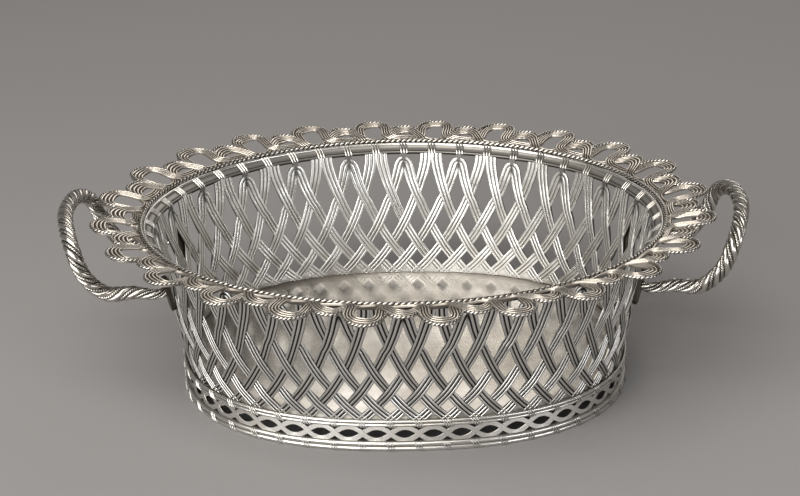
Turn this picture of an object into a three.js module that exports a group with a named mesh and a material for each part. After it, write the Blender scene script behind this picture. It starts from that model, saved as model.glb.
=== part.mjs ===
// Oval silver basket: a pierced wall that imitates wicker, a pierced foot, a sloping border of interlaced
// ribbons with scalloped edges, and two fixed handles of twisted wire.
// Millimetres, +Z up. The origin is on the table under the middle of the foot, +X runs through the handles
// and -Y is the front. Places round the basket are counted in ties, the evenly spaced bindings of the rim
// moulding: tie 0 is at the middle of the front and the count runs towards +X.
import * as THREE from 'three';

// Oval and heights
const WALL_PANELS = 4;
const TIES_PER_PANEL = 12;
const RIM_HALF_LENGTH = 140;
const RIM_HALF_WIDTH = 116;
const RIM_HEIGHT = 90.5;
const FOOT_HALF_LENGTH = 117;
const FOOT_HALF_WIDTH = 95.6;
const FOOT_SQUARENESS = 2.35;
const SEAT_GAP = 0.3;

// Foot, floor and wall
const LOWER_MOULDING_HEIGHT = 5.3;
const FOOT_BAND_HEIGHT = 7.6;
const FOOT_BAND_THICKNESS = 1.2;
const FOOT_LENS_HEIGHT = 4.6;
const FOOT_LENS_TIES = 0.78;
const UPPER_MOULDING_HEIGHT = 4.3;
const MOULDING_PROJECTION = 3;
const REED_HEIGHT = 0.7;
const LEDGE_WIDTH = 3.4;
const LEDGE_THICKNESS = 0.9;
const FLOOR_THICKNESS = 1.2;
const WALL_THICKNESS = 1.2;
const WALL_FLARE_POWER = 1.15;
const STRAP_WIDTH = 5.3;

// A strap leaves its tie at the top of the wall and leans sideways. Its lean is steep at the top, steeper
// halfway and flattens again towards the foot: ties moved per depth, depth squared and depth cubed.
const STRAP_LEAN = [1.6, -0.55, 1.6];

// Half outlines of the openings at the top of the wall as [ties, depth], where depth is a share of the wall
const ARCH_CROWN = [[0, 0.1], [0.15, 0.125], [0.25, 0.2]];
const PAIR_CROWN = [[0, 0.07], [0.14, 0.2]];
const SPANDREL = [[0.27, 0.02], [0.61, 0.02], [0.51, 0.18], [0.38, 0.08]];

// Rim and border
const RIM_ROPE_DIAMETER = 2.5;
const RIM_MOULDING_INSET = 7;
const RIM_MOULDING_DROP = 6.8;
const RIM_MOULDING_THICKNESS = 1.6;

// Two reeds on the slope of the rim moulding: share of the slope from the rope down, and height above it
const RIM_REEDS = [[0, 0], [0.22, 1], [0.45, 0.3], [0.7, 1], [1, 0.1]];

const BORDER_THICKNESS = 1.2;
const LARGE_SCALLOP_REACH = 29.8;
const SMALL_SCALLOP_REACH = 20.7;
const SCALLOP_NOTCH_REACH = 14;
const BORDER_END_SCALE = 0.89;
const BORDER_SIDE_SLOPE = 0.105;
const BORDER_END_SLOPE = 0.25;
const LARGE_SCALLOP_HALF_TIES = 0.6;
const SCALLOP_SQUARENESS = 2.2;
const EDGE_ROPE_DIAMETER = 1.6;

// Half outlines of the openings in the border as [ties, reach]
const LARGE_OPENING = [[0, 2.5], [0.3, 9.5], [0.37, 14], [0.25, 19], [0, 21]];
const SMALL_OPENING = [[0, 5.5], [0.14, 7], [0.14, 10], [0, 11.5]];

// Handles
const HANDLE_REACH = 184;
const HANDLE_HEIGHT = 96;
const HANDLE_ROOT_SPREAD = 34;
const HANDLE_HALF_SPREAD = 39.6;
const HANDLE_ROOT_HEIGHT = 63.5;
const HANDLE_LEAD = 5;
const HANDLE_LEAD_DROP = 0.5; // as a share of the fall of a line square to the wall

// Points of half a handle between its root and its tip, as shares of the reach, half spread and rise: it
// leaves the wall level, turns up steeply and curves round above the border
const HANDLE_BOW = [
  [0.3, 0.9, -0.02], [0.56, 0.9, -0.03], [0.755, 0.985, 0.31], [0.86, 0.92, 0.73], [0.955, 0.51, 0.98],
];
const CABLE_DIAMETER = 8.6;
const CABLE_ROOT_SCALE = 0.62;
const CABLE_TAPER_LENGTH = 26;
const CABLE_PITCH = 25.5;
const THICK_WIRE_DIAMETER = 3.4;
const FINE_WIRE_DIAMETER = 1.2;
const TERMINAL_WIDTH = 7;
const TERMINAL_LENGTH = 19;
const TERMINAL_THICKNESS = 2.4;
const TERMINAL_ABOVE_CABLE = 7.6;

const silver = { color: 0xd8d5cf, roughness: 0.22, metalness: 1 };
const wornSilver = { color: 0xc2b9ac, roughness: 0.38, metalness: 1 };
const chasedSilver = { color: 0xcac6bf, roughness: 0.3, metalness: 1 };

const TIES = WALL_PANELS * TIES_PER_PANEL;

// Heights that follow from the stack of pieces
const bandBottom = LOWER_MOULDING_HEIGHT + SEAT_GAP;
const bandTop = bandBottom + FOOT_BAND_HEIGHT;
const upperMouldingBottom = bandTop + SEAT_GAP;
const ledgeTop = upperMouldingBottom + LEDGE_THICKNESS;
const floorBottom = ledgeTop + SEAT_GAP;
const floorTop = floorBottom + FLOOR_THICKNESS;
const wallBottom = ledgeTop + SEAT_GAP;
const wallTop = RIM_HEIGHT - RIM_MOULDING_DROP;
const borderTop = RIM_HEIGHT - RIM_ROPE_DIAMETER / 2 - SEAT_GAP / 2;
const borderBottom = borderTop - BORDER_THICKNESS;

// An oval |x/a|^n + |y/b|^n = 1 that is walked in equal steps from the front towards +X.
class Oval {
  constructor(halfLength, halfWidth, squareness) {
    this.halfLength = halfLength;
    this.halfWidth = halfWidth;
    this.squareness = squareness;
    this.steps = TIES * 30;
    this.lengths = [0];
    let last = this.at(this.turn(0));
    for (let i = 1; i <= this.steps; i++) {
      const next = this.at(this.turn(i));
      this.lengths.push(this.lengths[i - 1] + next.distanceTo(last));
      last = next;
    }
    this.perimeter = this.lengths[this.steps];
  }

  turn(step) {
    return (step / this.steps) * 2 * Math.PI - Math.PI / 2;
  }

  at(angle) {
    const c = Math.cos(angle);
    const s = Math.sin(angle);
    const n = this.squareness;
    const sum = Math.abs(c / this.halfLength) ** n + Math.abs(s / this.halfWidth) ** n;
    return new THREE.Vector2(c, s).multiplyScalar(sum ** (-1 / n));
  }

  angle(tie) {
    const wanted = THREE.MathUtils.euclideanModulo(tie / TIES, 1) * this.perimeter;
    let low = 0;
    let high = this.steps;
    while (high - low > 1) {
      const middle = (low + high) >> 1;
      if (this.lengths[middle] <= wanted) low = middle;
      else high = middle;
    }
    const part = (wanted - this.lengths[low]) / (this.lengths[high] - this.lengths[low]);
    return this.turn(low + part);
  }

  normal(angle) {
    const p = this.at(angle);
    const n = this.squareness;
    const x = (Math.sign(p.x) * Math.abs(p.x / this.halfLength) ** (n - 1)) / this.halfLength;
    const y = (Math.sign(p.y) * Math.abs(p.y / this.halfWidth) ** (n - 1)) / this.halfWidth;
    return new THREE.Vector2(x, y).normalize();
  }

  point(tie, offset) {
    const angle = this.angle(tie);
    return this.at(angle).addScaledVector(this.normal(angle), offset);
  }
}

const rim = new Oval(RIM_HALF_LENGTH, RIM_HALF_WIDTH, 2);
const foot = new Oval(FOOT_HALF_LENGTH, FOOT_HALF_WIDTH, FOOT_SQUARENESS);

function rimPlace(tie, offset, height) {
  const p = rim.point(tie, offset);
  return new THREE.Vector3(p.x, p.y, height);
}

function footPlace(tie, offset, height) {
  const p = foot.point(tie, offset);
  return new THREE.Vector3(p.x, p.y, height);
}

// The wall's middle surface: depth runs from 0 at the top to 1 on the floor, offset is outwards.
function wallPlace(tie, depth, offset) {
  const top = rim.point(tie, offset - RIM_MOULDING_INSET);
  const bottom = foot.point(tie, offset);
  const flare = Math.max(1 - depth, 0) ** WALL_FLARE_POWER;
  const p = bottom.lerp(top, flare);
  return new THREE.Vector3(p.x, p.y, THREE.MathUtils.lerp(wallTop, wallBottom, depth));
}

function finished(geometry) {
  geometry.deleteAttribute('normal');
  geometry.deleteAttribute('uv');
  const position = geometry.attributes.position;
  for (let i = 0; i < position.array.length; i++) {
    position.array[i] = Math.round(position.array[i] * 1e4) / 1e4;
  }
  geometry.computeVertexNormals();
  return geometry;
}

// A ring whose section, given as [offset, height] pairs, follows an oval with one facet to each tie.
function ovalRing(section, place) {
  const laidRadius = 1000;
  const outline = section.map(([offset, height]) => new THREE.Vector2(laidRadius + offset, height));
  outline.push(outline[0].clone());
  const geometry = new THREE.LatheGeometry(outline, TIES);
  const position = geometry.attributes.position;
  const rows = outline.length;
  for (let i = 0; i < position.count; i++) {
    const [offset, height] = section[(i % rows) % section.length];
    const p = place(Math.floor(i / rows) % TIES, offset, height);
    position.setXYZ(i, p.x, p.y, p.z);
  }
  return finished(geometry);
}

// A pierced sheet that place(along, across, offset) bends to shape. It is drawn as blanks that join side by
// side, each with an outline and holes of [along, across] pairs. Both sides get faces, and a wall follows
// every edge that belongs to one face only.
function bentSheet(blanks, thickness, place) {
  const faces = blanks.flatMap(blankFaces);
  const key = ([along, across]) => place(along, across, 0).toArray().map((v) => v.toFixed(3)).join(' ');
  const edges = new Map();
  for (const face of faces) {
    face.forEach((from, k) => {
      const to = face[(k + 1) % 3];
      edges.set(`${key(from)} ${key(to)}`, { from, to, back: `${key(to)} ${key(from)}` });
    });
  }
  const positions = [];
  const add = (side, points) => {
    const offset = (side * thickness) / 2;
    for (const [along, across] of points) positions.push(...place(along, across, offset).toArray());
  };
  for (const [a, b, c] of faces) {
    add(1, [a, b, c]);
    add(-1, [a, c, b]);
  }
  for (const { from, to, back } of edges.values()) {
    if (edges.has(back)) continue;
    add(1, [to, from]);
    add(-1, [from]);
    add(1, [to]);
    add(-1, [from, to]);
  }
  const geometry = new THREE.BufferGeometry();
  geometry.setAttribute('position', new THREE.Float32BufferAttribute(positions, 3));
  return faceOut(finished(geometry));
}

function blankFaces({ outline, holes }) {
  const points = [outline, ...holes].flat();
  const flat = (line) => line.map(([along, across]) => new THREE.Vector2(along, across));
  const faces = THREE.ShapeUtils.triangulateShape(flat(outline), holes.map(flat));
  return faces.map((face) => face.map((corner) => points[corner]));
}

// Turns the faces round if they point into the solid.
function faceOut(geometry) {
  const position = geometry.attributes.position;
  const corner = [0, 1, 2].map(() => new THREE.Vector3());
  let volume = 0;
  for (let i = 0; i < position.count; i += 3) {
    corner.forEach((c, k) => c.fromBufferAttribute(position, i + k));
    volume += corner[0].dot(corner[1].clone().cross(corner[2]));
  }
  if (volume < 0) {
    for (let i = 0; i < position.count; i += 3) {
      corner.forEach((c, k) => c.fromBufferAttribute(position, i + k));
      position.setXYZ(i + 1, corner[2].x, corner[2].y, corner[2].z);
      position.setXYZ(i + 2, corner[1].x, corner[1].y, corner[1].z);
    }
    geometry.computeVertexNormals();
  }
  return geometry;
}

// A solid from rings of points: each ring is joined to the next, and an open run gets flat ends.
function ringsSolid(rings, closed) {
  const sides = rings[0].length;
  const positions = rings.flat().flatMap((p) => [p.x, p.y, p.z]);
  const index = [];
  const last = closed ? rings.length : rings.length - 1;
  for (let r = 0; r < last; r++) {
    const next = (r + 1) % rings.length;
    for (let k = 0; k < sides; k++) {
      const a = r * sides + k;
      const b = r * sides + ((k + 1) % sides);
      const c = next * sides + ((k + 1) % sides);
      const d = next * sides + k;
      index.push(a, b, c, a, c, d);
    }
  }
  if (!closed) {
    const end = (rings.length - 1) * sides;
    for (let k = 1; k < sides - 1; k++) {
      index.push(0, k + 1, k);
      index.push(end, end + k, end + k + 1);
    }
  }
  const geometry = new THREE.BufferGeometry();
  geometry.setAttribute('position', new THREE.Float32BufferAttribute(positions, 3));
  geometry.setIndex(index);
  return faceOut(finished(geometry.toNonIndexed()));
}

// Foot
// A moulding's section with two reeds on its outer side, from the bottom up.
function reededSection(innerBottom, innerTop, outer, bottom, top) {
  const groove = outer - REED_HEIGHT;
  const level = (share) => THREE.MathUtils.lerp(bottom, top, share);
  return [
    [innerBottom, bottom],
    [groove, bottom],
    [outer, level(0.25)],
    [groove, level(0.5)],
    [outer, level(0.75)],
    [groove, top],
    [innerTop, top],
  ];
}

function lowerFootMoulding() {
  const inner = -FOOT_BAND_THICKNESS;
  const section = reededSection(inner, inner, MOULDING_PROJECTION, 0, LOWER_MOULDING_HEIGHT);
  return ovalRing(section, footPlace);
}

// How far the wall has leaned outwards at a height, where it leans most.
function wallLean(height) {
  const depth = (wallTop - height) / (wallTop - wallBottom);
  const leans = [];
  for (let tie = 0; tie < TIES; tie++) {
    leans.push(wallPlace(tie, depth, 0).distanceTo(footPlace(tie, 0, height)));
  }
  return Math.max(...leans);
}

// The upper moulding wraps the bottom of the wall and carries wall and floor on an inner ledge.
function upperFootMoulding() {
  const top = upperMouldingBottom + UPPER_MOULDING_HEIGHT;
  const wallSide = WALL_THICKNESS / 2 + SEAT_GAP;
  const ledgeEdge = wallSide - LEDGE_WIDTH;
  const outer = MOULDING_PROJECTION + SEAT_GAP;
  const section = [
    ...reededSection(ledgeEdge, wallSide + wallLean(top), outer, upperMouldingBottom, top),
    [wallSide, ledgeTop],
    [ledgeEdge, ledgeTop],
  ];
  return ovalRing(section, footPlace);
}

// The lens-shaped opening of the foot band at a tie.
function lens(tie) {
  const points = [];
  const steps = 3;
  const halfAcross = FOOT_LENS_HEIGHT / FOOT_BAND_HEIGHT / 2;
  for (let i = 0; i < 2 * steps; i++) {
    const onTop = i <= steps;
    const along = onTop ? 1 - (2 * i) / steps : (2 * i) / steps - 3;
    const rise = (onTop ? halfAcross : -halfAcross) * (1 - along ** 2);
    points.push([tie + (FOOT_LENS_TIES / 2) * along, 0.5 + rise]);
  }
  return points;
}

function footBand() {
  const blanks = [];
  for (let tie = 1; tie <= TIES; tie++) {
    const [left, right] = [tie - 0.5, tie + 0.5];
    const outline = [[left, 0], [tie, 0], [right, 0], [right, 1], [tie, 1], [left, 1]];
    blanks.push({ outline, holes: [lens(tie)] });
  }
  const place = (tie, across, offset) => footPlace(tie, offset, bandBottom + across * FOOT_BAND_HEIGHT);
  return bentSheet(blanks, FOOT_BAND_THICKNESS, place);
}

// The floor lies on the ledge, inside the wall.
function floorPlate() {
  const outline = [];
  for (let tie = 0; tie < TIES; tie++) outline.push(foot.point(tie, -WALL_THICKNESS / 2 - SEAT_GAP));
  const options = { depth: FLOOR_THICKNESS, steps: 1, bevelEnabled: false };
  const geometry = new THREE.ExtrudeGeometry(new THREE.Shape(outline), options);
  geometry.translate(0, 0, floorBottom);
  return finished(geometry);
}

// Wall lattice. A strap leaves its tie at the top and has moved sideways by strapShift ties at a depth.
function strapShift(depth) {
  const [first, second, third] = STRAP_LEAN;
  return first * depth + second * depth ** 2 + third * depth ** 3;
}

function solve(low, high, value) {
  const rising = value(high) > value(low);
  const halvings = 40;
  for (let i = 0; i < halvings; i++) {
    const middle = (low + high) / 2;
    if (value(middle) > 0 === rising) high = middle;
    else low = middle;
  }
  return (low + high) / 2;
}

function crossingDepth(row) {
  return solve(0, 1, (depth) => strapShift(depth) - row / 2);
}

function strapHalfTies(depth) {
  const spacing = THREE.MathUtils.lerp(rim.perimeter, foot.perimeter, depth) / TIES;
  const step = 0.001;
  const slope = ((strapShift(depth + step) - strapShift(depth - step)) / (2 * step)) * spacing;
  const lean = Math.hypot(1, slope / (wallTop - wallBottom));
  return (STRAP_WIDTH / 2 / spacing) * lean;
}

// The four corners of the diamond whose middle lies level with a row of crossings.
function diamond(tie, row) {
  const above = strapShift(crossingDepth(row - 1));
  const below = strapShift(crossingDepth(row + 1));
  const middle = crossingDepth(row);
  const top = solve(crossingDepth(row - 1), middle, (d) => strapShift(d) - above - strapHalfTies(d));
  const bottom = solve(middle, crossingDepth(row + 1), (d) => below - strapShift(d) - strapHalfTies(d));
  const half = strapShift(middle) - above - strapHalfTies(middle);
  return [[tie, top], [tie + half, middle], [tie, bottom], [tie - half, middle]];
}

// The tall opening under an arch, or between the two straps of a pair: half its outline, from its top down.
function tallHalf(isArch) {
  const row = crossingDepth(1);
  const bottom = solve(row, crossingDepth(2), (d) => 1 - strapShift(d) - strapHalfTies(d));
  return [...(isArch ? ARCH_CROWN : PAIR_CROWN), [0.5 - strapHalfTies(row), row], [0, bottom]];
}

// The opening between an arch and the straps of the next pair, just under the rim moulding.
function spandrel(archTie, side) {
  return SPANDREL.map(([ties, depth]) => [archTie + side * ties, depth]);
}

// A quarter of the wall, drawn as one blank from each tie to the next.
function wallPanel(number) {
  const ties = TIES / WALL_PANELS;
  const seam = SEAT_GAP / 2 / (foot.perimeter / TIES);
  const first = number * ties;
  const blanks = [];
  for (let tie = first; tie < first + ties; tie++) {
    const isArch = tie % 2 === 0;
    const start = tie === first ? tie + seam : tie;
    const end = tie === first + ties - 1 ? tie + 1 - seam : tie + 1;
    const outline = [...blankSide(start, isArch, 1), ...blankSide(end, !isArch, -1).reverse()];
    const nextArch = isArch ? spandrel(tie, 1) : spandrel(tie + 1, -1);
    blanks.push({ outline, holes: [diamond(tie + 0.5, 2), diamond(tie + 0.5, 4), nextArch] });
  }
  return bentSheet(blanks, WALL_THICKNESS, wallPlace);
}

// The side of a blank at a tie, from the floor up, with half of the two openings that are centred there.
function blankSide(tie, isArch, side) {
  const [top, corner, bottom] = diamond(0, 3);
  const points = [[0, 1], [0, bottom[1]], corner, [0, top[1]], ...tallHalf(isArch).reverse(), [0, 0]];
  return points.map(([ties, depth]) => [tie + side * ties, depth]);
}

// Rim
function rimMoulding() {
  const start = new THREE.Vector2(-RIM_ROPE_DIAMETER / 2, borderTop);
  const end = new THREE.Vector2(-RIM_MOULDING_INSET - WALL_THICKNESS / 2, wallTop + SEAT_GAP);
  const above = new THREE.Vector2(start.y - end.y, end.x - start.x).normalize().negate();
  const onSlope = ([share, height]) => {
    return start.clone().lerp(end, share).addScaledVector(above, height).toArray();
  };
  const back = [[0.62, -RIM_MOULDING_THICKNESS], [0.12, -RIM_MOULDING_THICKNESS]];
  const section = [...RIM_REEDS.map(onSlope), [end.x + WALL_THICKNESS, end.y], ...back.map(onSlope)];
  return ovalRing(section, rimPlace);
}

function roundSection(diameter, height, sides) {
  const section = [];
  for (let k = 0; k < sides; k++) {
    const turn = ((k + 0.5) / sides) * 2 * Math.PI;
    section.push([(diameter / 2) * Math.cos(turn), height + (diameter / 2) * Math.sin(turn)]);
  }
  return section;
}

function rimRope() {
  return ovalRing(roundSection(RIM_ROPE_DIAMETER, RIM_HEIGHT, 6), rimPlace);
}

// Border. Reaches are given for the long sides of the basket and shrink towards its ends.
function borderPoint(tie, reach) {
  const across = Math.abs(Math.sin(rim.angle(tie)));
  const scale = THREE.MathUtils.lerp(BORDER_END_SCALE, 1, across ** 2);
  return rim.point(tie, reach * scale);
}

// How far the border has risen at a point: it slopes up past the rim rope, most at the basket's ends.
function borderLift(p) {
  const beyond = Math.hypot(p.x / RIM_HALF_LENGTH, p.y / RIM_HALF_WIDTH) - 1;
  const across = (p.y / Math.hypot(p.x, p.y)) ** 2;
  const atEnd = BORDER_END_SLOPE * RIM_HALF_LENGTH;
  return beyond * THREE.MathUtils.lerp(atEnd, BORDER_SIDE_SLOPE * RIM_HALF_WIDTH, across);
}

function scallopHalfTies(tie) {
  return tie % 2 ? LARGE_SCALLOP_HALF_TIES : 1 - LARGE_SCALLOP_HALF_TIES;
}

// The middle line of the edge rope, one run for each scallop: large on the odd ties, small on the even ones.
function edgeRuns() {
  const runs = [];
  for (let tie = 0; tie < TIES; tie++) {
    const tip = (tie % 2 ? LARGE_SCALLOP_REACH : SMALL_SCALLOP_REACH) - EDGE_ROPE_DIAMETER / 2;
    const steps = tie % 2 ? 6 : 3;
    const run = [];
    for (let i = 0; i < steps; i++) {
      const along = (2 * i) / steps - 1;
      const reach = tip - (tip - SCALLOP_NOTCH_REACH) * Math.abs(along) ** SCALLOP_SQUARENESS;
      run.push(borderPoint(tie + scallopHalfTies(tie) * along, reach));
    }
    runs.push(run);
  }
  return runs;
}

// Moves each corner of a closed line sideways by the same distance, to the left of its direction.
function movedAside(line, distance) {
  return line.map((p, i) => {
    const before = line[(i + line.length - 1) % line.length];
    const after = line[(i + 1) % line.length];
    const a = p.clone().sub(before).normalize();
    const b = after.clone().sub(p).normalize();
    const mitre = new THREE.Vector2(-a.y - b.y, a.x + b.x);
    return p.clone().addScaledVector(mitre, distance / (1 + a.dot(b)));
  });
}

function borderOpening(tie) {
  const half = tie % 2 ? LARGE_OPENING : SMALL_OPENING;
  const right = half.map(([ties, reach]) => borderPoint(tie + ties, reach));
  const left = half.slice(1, -1).reverse().map(([ties, reach]) => borderPoint(tie - ties, reach));
  return [...right, ...left].map((p) => p.toArray());
}

// The flange is drawn as one blank to each scallop.
function borderFlange() {
  const runs = edgeRuns();
  const edge = movedAside(runs.flat(), EDGE_ROPE_DIAMETER / 2 + SEAT_GAP);
  const blanks = [];
  let first = 0;
  for (let tie = 0; tie < TIES; tie++) {
    const last = first + runs[tie].length;
    const outer = [...edge.slice(first, last), edge[last % edge.length]];
    const sides = [-1, 0, 1].map((side) => tie + side * scallopHalfTies(tie));
    const inner = sides.map((place) => rim.point(place, SEAT_GAP - RIM_ROPE_DIAMETER / 2));
    const outline = [...inner, ...outer.reverse()];
    blanks.push({ outline: outline.map((p) => p.toArray()), holes: [borderOpening(tie)] });
    first = last;
  }
  const middle = borderBottom + BORDER_THICKNESS / 2;
  return bentSheet(blanks, BORDER_THICKNESS, (x, y, offset) => {
    return new THREE.Vector3(x, y, middle + offset + borderLift({ x, y }));
  });
}

function edgeRope() {
  const line = edgeRuns().flat();
  const radius = EDGE_ROPE_DIAMETER / 2;
  const sides = 4;
  const height = borderBottom + BORDER_THICKNESS / 2;
  const layers = [];
  for (let k = 0; k < sides; k++) {
    const turn = (k / sides) * 2 * Math.PI;
    const aside = movedAside(line, -radius * Math.cos(turn));
    const rise = height + radius * Math.sin(turn);
    layers.push(aside.map((p) => new THREE.Vector3(p.x, p.y, rise + borderLift(p))));
  }
  return ringsSolid(line.map((_, i) => layers.map((layer) => layer[i])), true);
}

// Handles, built at the +X end. The wall's outer face at a height, on the handle's side of the end.
function wallOutside(spread, height) {
  const depth = (wallTop - height) / (wallTop - wallBottom);
  const tie = solve(TIES / 4, TIES / 2, (t) => wallPlace(t, depth, 0).y - spread);
  const place = (ties, rise) => wallPlace(tie + ties, depth - rise, WALL_THICKNESS / 2);
  const step = 0.02;
  const along = place(step, 0).sub(place(-step, 0)).normalize();
  const up = place(0, step).sub(place(0, -step)).normalize();
  const normal = new THREE.Vector3().crossVectors(along, up).normalize();
  return { point: place(0, 0), normal, along: new THREE.Vector3().crossVectors(up, normal), up };
}

const root = wallOutside(HANDLE_ROOT_SPREAD, HANDLE_ROOT_HEIGHT);
const rootStart = SEAT_GAP * 2 + TERMINAL_THICKNESS;

// The middle line of a cable, from its root at -Y round the end of the basket to its root at +Y.
function cableLine() {
  const tip = HANDLE_REACH - CABLE_DIAMETER / 2;
  const start = root.point.clone().addScaledVector(root.normal, rootStart);
  const outward = root.normal.clone().setZ(root.normal.z * HANDLE_LEAD_DROP).normalize();
  const lead = start.clone().addScaledVector(outward, HANDLE_LEAD);
  const rise = HANDLE_HEIGHT - HANDLE_ROOT_HEIGHT;
  const run = tip - start.x;
  const place = ([out, spread, up]) =>
    new THREE.Vector3(start.x + out * run, spread * HANDLE_HALF_SPREAD, HANDLE_ROOT_HEIGHT + up * rise);
  const back = [start, lead, ...HANDLE_BOW.map(place)];
  const front = back.map((p) => new THREE.Vector3(p.x, -p.y, p.z));
  return new THREE.CatmullRomCurve3([...front, place([1, 0, 1]), ...back.reverse()], false, 'centripetal');
}

// One wire of the cable: it winds round the middle line, and both get thinner towards the roots.
function cableWire(phase, coilRadius, wireDiameter, sides) {
  const line = cableLine();
  const length = line.getLength();
  const turns = Math.round(length / CABLE_PITCH);
  const stepsPerTurn = 6;
  const steps = turns * stepsPerTurn;
  const frames = line.computeFrenetFrames(steps, false);
  const centres = [];
  const radii = [];
  for (let i = 0; i <= steps; i++) {
    const part = i / steps;
    const near = Math.min(part, 1 - part) * length;
    const taper = THREE.MathUtils.lerp(CABLE_ROOT_SCALE, 1, Math.min(near / CABLE_TAPER_LENGTH, 1));
    const turn = 2 * Math.PI * (phase - turns * part);
    const centre = line.getPointAt(part);
    centre.addScaledVector(frames.normals[i], coilRadius * taper * Math.cos(turn));
    centre.addScaledVector(frames.binormals[i], coilRadius * taper * Math.sin(turn));
    centres.push(centre);
    radii.push((wireDiameter / 2) * taper);
  }
  const wire = new THREE.CatmullRomCurve3(centres);
  const rings = centres.map((centre, i) => {
    const tangent = wire.getTangent(i / steps);
    if (i === 0) tangent.copy(frames.tangents[0]);
    if (i === steps) tangent.copy(frames.tangents[steps]);
    const across = frames.normals[i].clone().addScaledVector(tangent, -frames.normals[i].dot(tangent));
    across.normalize();
    const other = new THREE.Vector3().crossVectors(tangent, across);
    const ring = [];
    for (let k = 0; k < sides; k++) {
      const a = (k / sides) * 2 * Math.PI;
      const p = centre.clone().addScaledVector(across, radii[i] * Math.cos(a));
      ring.push(p.addScaledVector(other, radii[i] * Math.sin(a)));
    }
    return ring;
  });
  return ringsSolid(rings, false);
}

// A tongue that lies on the wall under the border, with its round end down.
function terminal(side) {
  const half = TERMINAL_WIDTH / 2;
  const roundMiddle = TERMINAL_ABOVE_CABLE - TERMINAL_LENGTH + half;
  const shape = new THREE.Shape();
  shape.moveTo(half, TERMINAL_ABOVE_CABLE);
  shape.lineTo(-half, TERMINAL_ABOVE_CABLE);
  shape.lineTo(-half, roundMiddle);
  shape.absarc(0, roundMiddle, half, Math.PI, 2 * Math.PI, false);
  const options = { depth: TERMINAL_THICKNESS, steps: 1, bevelEnabled: false, curveSegments: 6 };
  const geometry = new THREE.ExtrudeGeometry(shape, options);
  const origin = root.point.clone().addScaledVector(root.normal, SEAT_GAP);
  geometry.applyMatrix4(new THREE.Matrix4().makeBasis(root.along, root.up, root.normal).setPosition(origin));
  if (side < 0) geometry.scale(1, -1, 1);
  return faceOut(finished(geometry.index ? geometry.toNonIndexed() : geometry));
}

function mesh(name, geometry, look) {
  const piece = new THREE.Mesh(geometry, new THREE.MeshStandardMaterial(look));
  piece.name = name;
  return piece;
}

function handle(name) {
  const group = new THREE.Group();
  const thickCoil = CABLE_DIAMETER / 2 - THICK_WIRE_DIAMETER / 2;
  const fineCoil = CABLE_DIAMETER / 2 - FINE_WIRE_DIAMETER / 2;
  for (let k = 0; k < 3; k++) {
    const thick = cableWire(k / 3, thickCoil, THICK_WIRE_DIAMETER, 5);
    const fine = cableWire((k + 0.5) / 3, fineCoil, FINE_WIRE_DIAMETER, 3);
    group.add(mesh(`${name}_thick_wire_${k + 1}`, thick, silver));
    group.add(mesh(`${name}_fine_wire_${k + 1}`, fine, chasedSilver));
  }
  group.add(mesh(`${name}_front_terminal`, terminal(-1), chasedSilver));
  group.add(mesh(`${name}_back_terminal`, terminal(1), chasedSilver));
  return group;
}

const basket = new THREE.Group();
basket.add(mesh('foot_lower_moulding', lowerFootMoulding(), silver));
basket.add(mesh('foot_band', footBand(), silver));
basket.add(mesh('foot_upper_moulding', upperFootMoulding(), silver));
basket.add(mesh('floor_plate', floorPlate(), wornSilver));
for (let i = 0; i < WALL_PANELS; i++) basket.add(mesh(`wall_panel_${i + 1}`, wallPanel(i), chasedSilver));
basket.add(mesh('rim_moulding', rimMoulding(), silver));
basket.add(mesh('rim_rope', rimRope(), silver));
basket.add(mesh('border_flange', borderFlange(), chasedSilver));
basket.add(mesh('border_edge_rope', edgeRope(), silver));
basket.add(handle('right_handle'));
const leftHandle = handle('left_handle');
leftHandle.rotation.z = Math.PI;
basket.add(leftHandle);

export default basket;
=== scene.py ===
"""Oval silver basket with a woven-look pierced wall, a border of two interlaced ribbons and twisted handles.

Lengths in this script are millimetres until a mesh is made, and places round the basket are counted in ties,
as in the solids: tie 0 is at the middle of the front and the count runs towards +X.

The straps, ribbons, ropes, waves and bindings run over and under each other along lines on curved walls, with a
section that changes on the way. Operators on a primitive can't give them that shape, so these pieces are swept
in mesh code, and the mouldings with them, which follow the same ovals.
"""

import math

import bpy
import numpy as np
from mathutils import Matrix, Vector


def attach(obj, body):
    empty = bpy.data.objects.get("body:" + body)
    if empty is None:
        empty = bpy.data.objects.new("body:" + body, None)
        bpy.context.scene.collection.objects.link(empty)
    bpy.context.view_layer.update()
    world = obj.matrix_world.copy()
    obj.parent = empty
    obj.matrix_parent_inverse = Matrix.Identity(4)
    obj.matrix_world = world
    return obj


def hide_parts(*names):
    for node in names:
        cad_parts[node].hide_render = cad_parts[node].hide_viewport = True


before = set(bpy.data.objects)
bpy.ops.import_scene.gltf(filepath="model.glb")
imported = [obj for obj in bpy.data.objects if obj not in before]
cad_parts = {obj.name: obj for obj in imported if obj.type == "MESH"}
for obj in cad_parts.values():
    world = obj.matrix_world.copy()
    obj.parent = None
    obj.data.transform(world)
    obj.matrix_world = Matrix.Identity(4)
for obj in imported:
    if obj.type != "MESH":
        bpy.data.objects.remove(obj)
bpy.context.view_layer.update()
bpy.ops.object.select_all(action="DESELECT")

METRE = 0.001

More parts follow.
